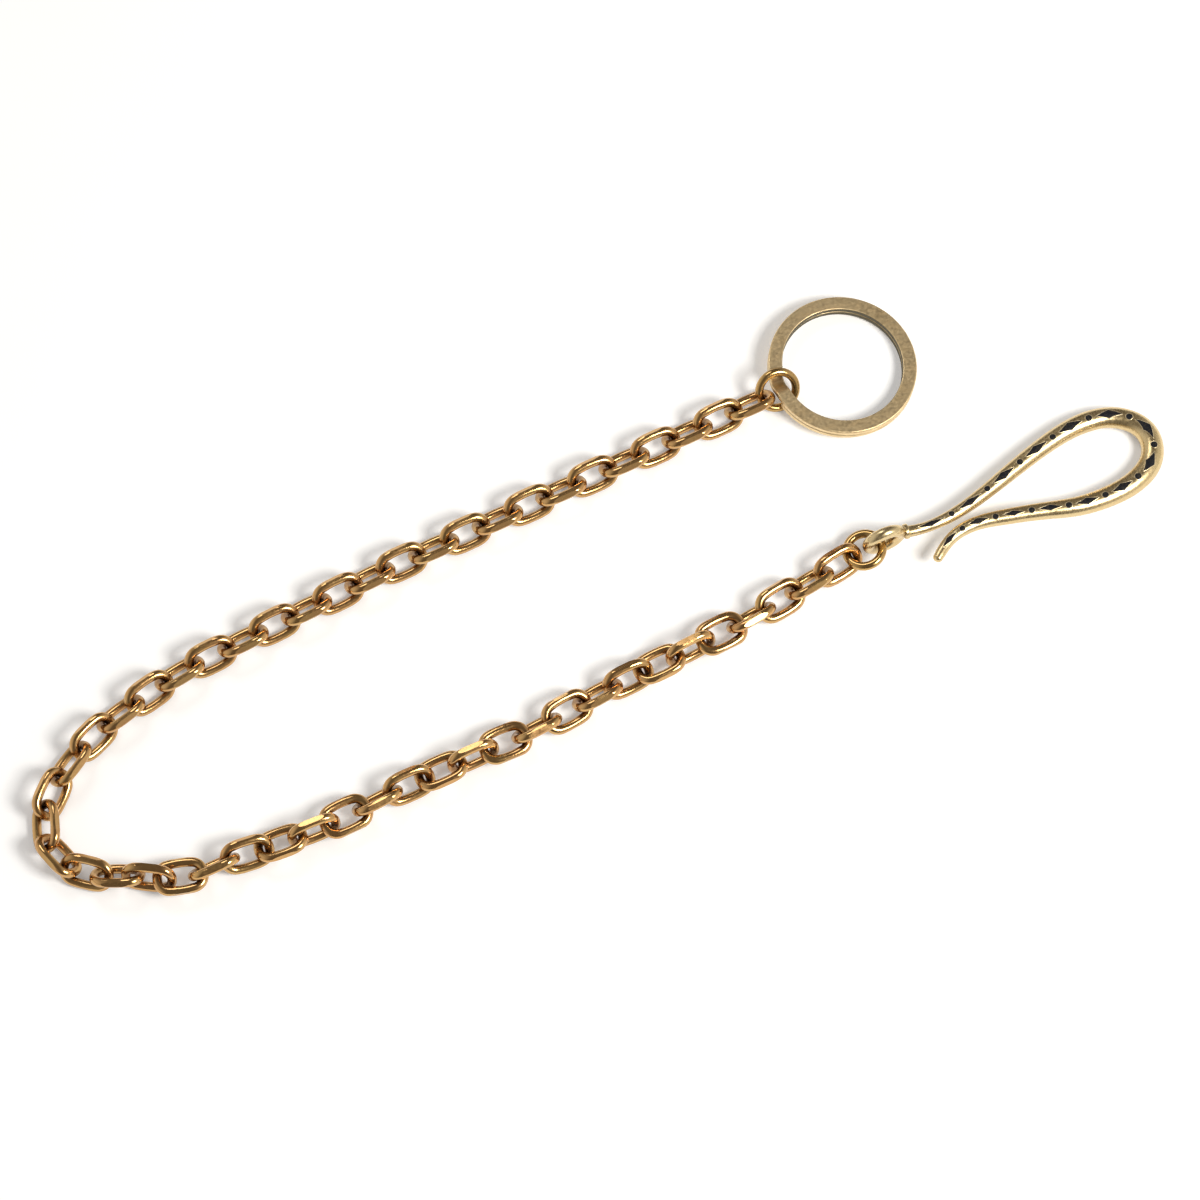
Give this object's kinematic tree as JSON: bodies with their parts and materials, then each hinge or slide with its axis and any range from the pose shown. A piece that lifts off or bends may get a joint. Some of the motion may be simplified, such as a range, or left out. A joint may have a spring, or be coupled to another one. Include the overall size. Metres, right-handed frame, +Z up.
{
  "type": "pocket watch chain",
  "caption": "Antique brass watch chain of faceted oval links, with a split key ring on a jump ring at one end and a patterned belt hook on the other.",
  "frame": {"origin": "middle of the whole outline seen from above, on the table", "axes": "+Z up from the table, +X along the length of the folded chain towards the key ring and the hook, +Y away from the viewer"},
  "size_m": [0.2376, 0.134, 0.0098],
  "materials": {
    "chain_brass": "polished brass with dark olive tarnish in the corners",
    "ring_brass": "brushed, darkened antique brass",
    "hook_brass": "polished pale brass, black filled engraving",
    "jump_brass": "polished antique brass"
  },
  "bodies": {
    "link_01": {"link_01": "chain_brass"},
    "link_02": {"link_02": "chain_brass"},
    "link_03": {"link_03": "chain_brass"},
    "link_04": {"link_04": "chain_brass"},
    "link_05": {"link_05": "chain_brass"},
    "link_06": {"link_06": "chain_brass"},
    "link_07": {"link_07": "chain_brass"},
    "link_08": {"link_08": "chain_brass"},
    "link_09": {"link_09": "chain_brass"},
    "link_10": {"link_10": "chain_brass"},
    "link_11": {"link_11": "chain_brass"},
    "link_12": {"link_12": "chain_brass"},
    "link_13": {"link_13": "chain_brass"},
    "link_14": {"link_14": "chain_brass"},
    "link_15": {"link_15": "chain_brass"},
    "link_16": {"link_16": "chain_brass"},
    "link_17": {"link_17": "chain_brass"},
    "link_18": {"link_18": "chain_brass"},
    "link_19": {"link_19": "chain_brass"},
    "link_20": {"link_20": "chain_brass"},
    "link_21": {"link_21": "chain_brass"},
    "link_22": {"link_22": "chain_brass"},
    "link_23": {"link_23": "chain_brass"},
    "link_24": {"link_24": "chain_brass"},
    "link_25": {"link_25": "chain_brass"},
    "link_26": {"link_26": "chain_brass"},
    "link_27": {"link_27": "chain_brass"},
    "link_28": {"link_28": "chain_brass"},
    "link_29": {"link_29": "chain_brass"},
    "link_30": {"link_30": "chain_brass"},
    "link_31": {"link_31": "chain_brass"},
    "link_32": {"link_32": "chain_brass"},
    "link_33": {"link_33": "chain_brass"},
    "link_34": {"link_34": "chain_brass"},
    "link_35": {"link_35": "chain_brass"},
    "link_36": {"link_36": "chain_brass"},
    "link_37": {"link_37": "chain_brass"},
    "link_38": {"link_38": "chain_brass"},
    "link_39": {"link_39": "chain_brass"},
    "link_40": {"link_40": "chain_brass"},
    "link_41": {"link_41": "chain_brass"},
    "link_42": {"link_42": "chain_brass"},
    "link_43": {"link_43": "chain_brass"},
    "link_44": {"link_44": "chain_brass"},
    "link_45": {"link_45": "chain_brass"},
    "link_46": {"link_46": "chain_brass"},
    "link_47": {"link_47": "chain_brass"},
    "link_48": {"link_48": "chain_brass"},
    "link_49": {"link_49": "chain_brass"},
    "link_50": {"link_50": "chain_brass"},
    "link_51": {"link_51": "chain_brass"},
    "ring_jump_ring": {"ring_jump_ring": "jump_brass"},
    "key_ring": {"key_ring": "ring_brass"},
    "hook_jump_ring": {"hook_jump_ring": "jump_brass"},
    "hook": {"hook": "hook_brass"}
  },
  "joints": [
    {"name": "link_25_swing", "type": "hinge", "parent": "link_26", "child": "link_25", "pos_m": [-0.11601, -0.05467, 0.00314], "axis": [-0.5255, -0.4731, 0.7071], "range_deg": [-40, 40]},
    {"name": "link_24_swing", "type": "hinge", "parent": "link_25", "child": "link_24", "pos_m": [-0.11609, -0.04719, 0.00314], "axis": [-0.7032, -0.0739, -0.7071], "range_deg": [-40, 40]},
    {"name": "link_23_swing", "type": "hinge", "parent": "link_24", "child": "link_23", "pos_m": [-0.1128, -0.04047, 0.00314], "axis": [0.6556, -0.2649, -0.7071], "range_deg": [-40, 40]},
    {"name": "link_22_swing", "type": "hinge", "parent": "link_23", "child": "link_22", "pos_m": [-0.10843, -0.0344, 0.00314], "axis": [0.5862, -0.3954, 0.7071], "range_deg": [-40, 40]},
    {"name": "link_21_swing", "type": "hinge", "parent": "link_22", "child": "link_21", "pos_m": [-0.10322, -0.02905, 0.00314], "axis": [-0.5171, 0.4822, 0.7071], "range_deg": [-40, 40]},
    {"name": "link_20_swing", "type": "hinge", "parent": "link_21", "child": "link_20", "pos_m": [-0.09732, -0.02447, 0.00314], "axis": [-0.445, 0.5495, -0.7071], "range_deg": [-40, 40]},
    {"name": "link_19_swing", "type": "hinge", "parent": "link_20", "child": "link_19", "pos_m": [-0.09134, -0.02001, 0.00314], "axis": [0.4255, -0.5647, -0.7071], "range_deg": [-40, 40]},
    {"name": "link_18_swing", "type": "hinge", "parent": "link_19", "child": "link_18", "pos_m": [-0.08504, -0.01601, 0.00314], "axis": [0.3851, -0.593, 0.7071], "range_deg": [-40, 40]},
    {"name": "link_17_swing", "type": "hinge", "parent": "link_18", "child": "link_17", "pos_m": [-0.07841, -0.01259, 0.00314], "axis": [-0.332, 0.6243, 0.7071], "range_deg": [-40, 40]},
    {"name": "link_16_swing", "type": "hinge", "parent": "link_17", "child": "link_16", "pos_m": [-0.07183, -0.00909, 0.00314], "axis": [-0.332, 0.6243, -0.7071], "range_deg": [-40, 40]},
    {"name": "link_15_swing", "type": "hinge", "parent": "link_16", "child": "link_15", "pos_m": [-0.06524, -0.00559, 0.00314], "axis": [0.332, -0.6243, -0.7071], "range_deg": [-40, 40]},
    {"name": "link_14_swing", "type": "hinge", "parent": "link_15", "child": "link_14", "pos_m": [-0.05865, -0.00208, 0.00314], "axis": [0.332, -0.6243, 0.7071], "range_deg": [-40, 40]},
    {"name": "link_13_swing", "type": "hinge", "parent": "link_14", "child": "link_13", "pos_m": [-0.05207, 0.00142, 0.00314], "axis": [-0.332, 0.6243, 0.7071], "range_deg": [-40, 40]},
    {"name": "link_12_swing", "type": "hinge", "parent": "link_13", "child": "link_12", "pos_m": [-0.04548, 0.00492, 0.00314], "axis": [-0.332, 0.6243, -0.7071], "range_deg": [-40, 40]},
    {"name": "link_11_swing", "type": "hinge", "parent": "link_12", "child": "link_11", "pos_m": [-0.03876, 0.00816, 0.00314], "axis": [0.31, -0.6355, -0.7071], "range_deg": [-40, 40]},
    {"name": "link_10_swing", "type": "hinge", "parent": "link_11", "child": "link_10", "pos_m": [-0.03205, 0.01143, 0.00314], "axis": [0.31, -0.6355, 0.7071], "range_deg": [-40, 40]},
    {"name": "link_09_swing", "type": "hinge", "parent": "link_10", "child": "link_09", "pos_m": [-0.02535, 0.0147, 0.00314], "axis": [-0.31, 0.6355, 0.7071], "range_deg": [-40, 40]},
    {"name": "link_08_swing", "type": "hinge", "parent": "link_09", "child": "link_08", "pos_m": [-0.01864, 0.01797, 0.00314], "axis": [-0.31, 0.6355, -0.7071], "range_deg": [-40, 40]},
    {"name": "link_07_swing", "type": "hinge", "parent": "link_08", "child": "link_07", "pos_m": [-0.01194, 0.02124, 0.00314], "axis": [0.31, -0.6355, -0.7071], "range_deg": [-40, 40]},
    {"name": "link_06_swing", "type": "hinge", "parent": "link_07", "child": "link_06", "pos_m": [-0.00523, 0.02451, 0.00314], "axis": [0.31, -0.6355, 0.7071], "range_deg": [-40, 40]},
    {"name": "link_05_swing", "type": "hinge", "parent": "link_06", "child": "link_05", "pos_m": [0.00147, 0.02778, 0.00314], "axis": [-0.31, 0.6355, 0.7071], "range_deg": [-40, 40]},
    {"name": "link_04_swing", "type": "hinge", "parent": "link_05", "child": "link_04", "pos_m": [0.00818, 0.03105, 0.00314], "axis": [-0.31, 0.6355, -0.7071], "range_deg": [-40, 40]},
    {"name": "link_03_swing", "type": "hinge", "parent": "link_04", "child": "link_03", "pos_m": [0.01488, 0.03432, 0.00314], "axis": [0.31, -0.6355, -0.7071], "range_deg": [-40, 40]},
    {"name": "link_02_swing", "type": "hinge", "parent": "link_03", "child": "link_02", "pos_m": [0.02159, 0.03759, 0.00314], "axis": [0.31, -0.6355, 0.7071], "range_deg": [-40, 40]},
    {"name": "link_01_swing", "type": "hinge", "parent": "link_02", "child": "link_01", "pos_m": [0.02829, 0.04086, 0.00314], "axis": [-0.31, 0.6355, 0.7071], "range_deg": [-40, 40]},
    {"name": "ring_jump_ring_swing", "type": "hinge", "parent": "link_01", "child": "ring_jump_ring", "pos_m": [0.035, 0.04413, 0.00314], "axis": [-0.31, 0.6355, -0.7071], "range_deg": [-40, 40]},
    {"name": "key_ring_swing", "type": "hinge", "parent": "ring_jump_ring", "child": "key_ring", "pos_m": [0.03664, 0.04522, 0.00388], "axis": [0.2753, -0.6646, 0.6947], "range_deg": [0, 40]},
    {"name": "link_27_swing", "type": "hinge", "parent": "link_26", "child": "link_27", "pos_m": [-0.10959, -0.0618, 0.00314], "axis": [-0.5255, -0.4731, 0.7071], "range_deg": [-40, 40]},
    {"name": "link_28_swing", "type": "hinge", "parent": "link_27", "child": "link_28", "pos_m": [-0.1022, -0.06296, 0.00314], "axis": [-0.1711, -0.6861, -0.7071], "range_deg": [-40, 40]},
    {"name": "link_29_swing", "type": "hinge", "parent": "link_28", "child": "link_29", "pos_m": [-0.09565, -0.06273, 0.00389], "axis": [0.0785, 0.7058, -0.704], "range_deg": [-38, 36]},
    {"name": "link_30_swing", "type": "hinge", "parent": "link_29", "child": "link_30", "pos_m": [-0.08913, -0.06355, 0.00375], "axis": [0.0425, 0.4045, 0.9135], "range_deg": [-26, 26]},
    {"name": "link_31_swing", "type": "hinge", "parent": "link_30", "child": "link_31", "pos_m": [-0.08268, -0.06213, 0.00375], "axis": [0.1564, -0.9877, 0], "range_deg": [-26, 8]},
    {"name": "link_32_swing", "type": "hinge", "parent": "link_31", "child": "link_32", "pos_m": [-0.07625, -0.05876, 0.00375], "axis": [0.1719, -0.3686, 0.9135], "range_deg": [-36, 40]},
    {"name": "link_33_swing", "type": "hinge", "parent": "link_32", "child": "link_33", "pos_m": [-0.06938, -0.05637, 0.00304], "axis": [-0.186, 0.6848, 0.7046], "range_deg": [-18, 36]},
    {"name": "link_34_swing", "type": "hinge", "parent": "link_33", "child": "link_34", "pos_m": [-0.06251, -0.05403, 0.00403], "axis": [-0.2646, 0.8895, -0.3725], "range_deg": [-40, 40]},
    {"name": "link_35_swing", "type": "hinge", "parent": "link_34", "child": "link_35", "pos_m": [-0.05582, -0.0511, 0.0039], "axis": [0.1011, -0.2382, -0.9659], "range_deg": [-26, 36]},
    {"name": "link_36_swing", "type": "hinge", "parent": "link_35", "child": "link_36", "pos_m": [-0.04943, -0.04775, 0.00356], "axis": [0.4445, -0.8849, -0.1391], "range_deg": [-36, 36]},
    {"name": "link_37_swing", "type": "hinge", "parent": "link_36", "child": "link_37", "pos_m": [-0.04306, -0.04418, 0.00361], "axis": [-0.2424, 0.4373, -0.866], "range_deg": [-40, 40]},
    {"name": "link_38_swing", "type": "hinge", "parent": "link_37", "child": "link_38", "pos_m": [-0.03648, -0.04103, 0.00326], "axis": [-0.2538, 0.5914, 0.7654], "range_deg": [-40, 40]},
    {"name": "link_39_swing", "type": "hinge", "parent": "link_38", "child": "link_39", "pos_m": [-0.02982, -0.03811, 0.004], "axis": [0.3568, -0.8698, 0.3409], "range_deg": [-40, 40]},
    {"name": "link_40_swing", "type": "hinge", "parent": "link_39", "child": "link_40", "pos_m": [-0.02321, -0.03501, 0.0039], "axis": [0.1094, -0.2346, -0.9659], "range_deg": [-26, 26]},
    {"name": "link_41_swing", "type": "hinge", "parent": "link_40", "child": "link_41", "pos_m": [-0.01654, -0.03206, 0.00356], "axis": [-0.3976, 0.907, 0.1391], "range_deg": [-26, 36]},
    {"name": "link_42_swing", "type": "hinge", "parent": "link_41", "child": "link_42", "pos_m": [-0.0102, -0.02843, 0.00361], "axis": [-0.2424, 0.4373, -0.866], "range_deg": [-40, 40]},
    {"name": "link_43_swing", "type": "hinge", "parent": "link_42", "child": "link_43", "pos_m": [-0.00397, -0.02464, 0.00326], "axis": [0.4286, -0.7528, -0.4996], "range_deg": [-40, 40]},
    {"name": "link_44_swing", "type": "hinge", "parent": "link_43", "child": "link_44", "pos_m": [0.00236, -0.02101, 0.00349], "axis": [0.3071, -0.5649, 0.7659], "range_deg": [-40, 40]},
    {"name": "link_45_swing", "type": "hinge", "parent": "link_44", "child": "link_45", "pos_m": [0.0089, -0.01774, 0.00347], "axis": [-0.2604, 0.5111, 0.8192], "range_deg": [-40, 40]},
    {"name": "link_46_swing", "type": "hinge", "parent": "link_45", "child": "link_46", "pos_m": [0.01545, -0.01457, 0.00397], "axis": [-0.4003, 0.8629, -0.3085], "range_deg": [-40, 40]},
    {"name": "link_47_swing", "type": "hinge", "parent": "link_46", "child": "link_47", "pos_m": [0.02188, -0.01111, 0.0039], "axis": [0.1215, -0.2285, -0.9659], "range_deg": [-26, 26]},
    {"name": "link_48_swing", "type": "hinge", "parent": "link_47", "child": "link_48", "pos_m": [0.02832, -0.00768, 0.00356], "axis": [0.4599, -0.877, -0.1391], "range_deg": [-36, 36]},
    {"name": "link_49_swing", "type": "hinge", "parent": "link_48", "child": "link_49", "pos_m": [0.03455, -0.00387, 0.00361], "axis": [-0.2575, 0.4286, -0.866], "range_deg": [-40, 40]},
    {"name": "link_50_swing", "type": "hinge", "parent": "link_49", "child": "link_50", "pos_m": [0.04064, 0.00014, 0.00326], "axis": [-0.4266, 0.6997, 0.5731], "range_deg": [-40, 40]},
    {"name": "link_51_swing", "type": "hinge", "parent": "link_50", "child": "link_51", "pos_m": [0.04677, 0.00411, 0.00331], "axis": [0.3501, -0.5391, 0.766], "range_deg": [-40, 40]},
    {"name": "hook_jump_ring_swing", "type": "hinge", "parent": "link_51", "child": "hook_jump_ring", "pos_m": [0.05289, 0.00809, 0.00331], "axis": [0.3501, -0.5391, -0.766], "range_deg": [-8, 14]},
    {"name": "hook_swing", "type": "hinge", "parent": "hook_jump_ring", "child": "hook", "pos_m": [0.05787, 0.01051, 0.00411], "axis": [-0.4284, 0.887, -0.1724], "range_deg": [-36, 40]}
  ]
}
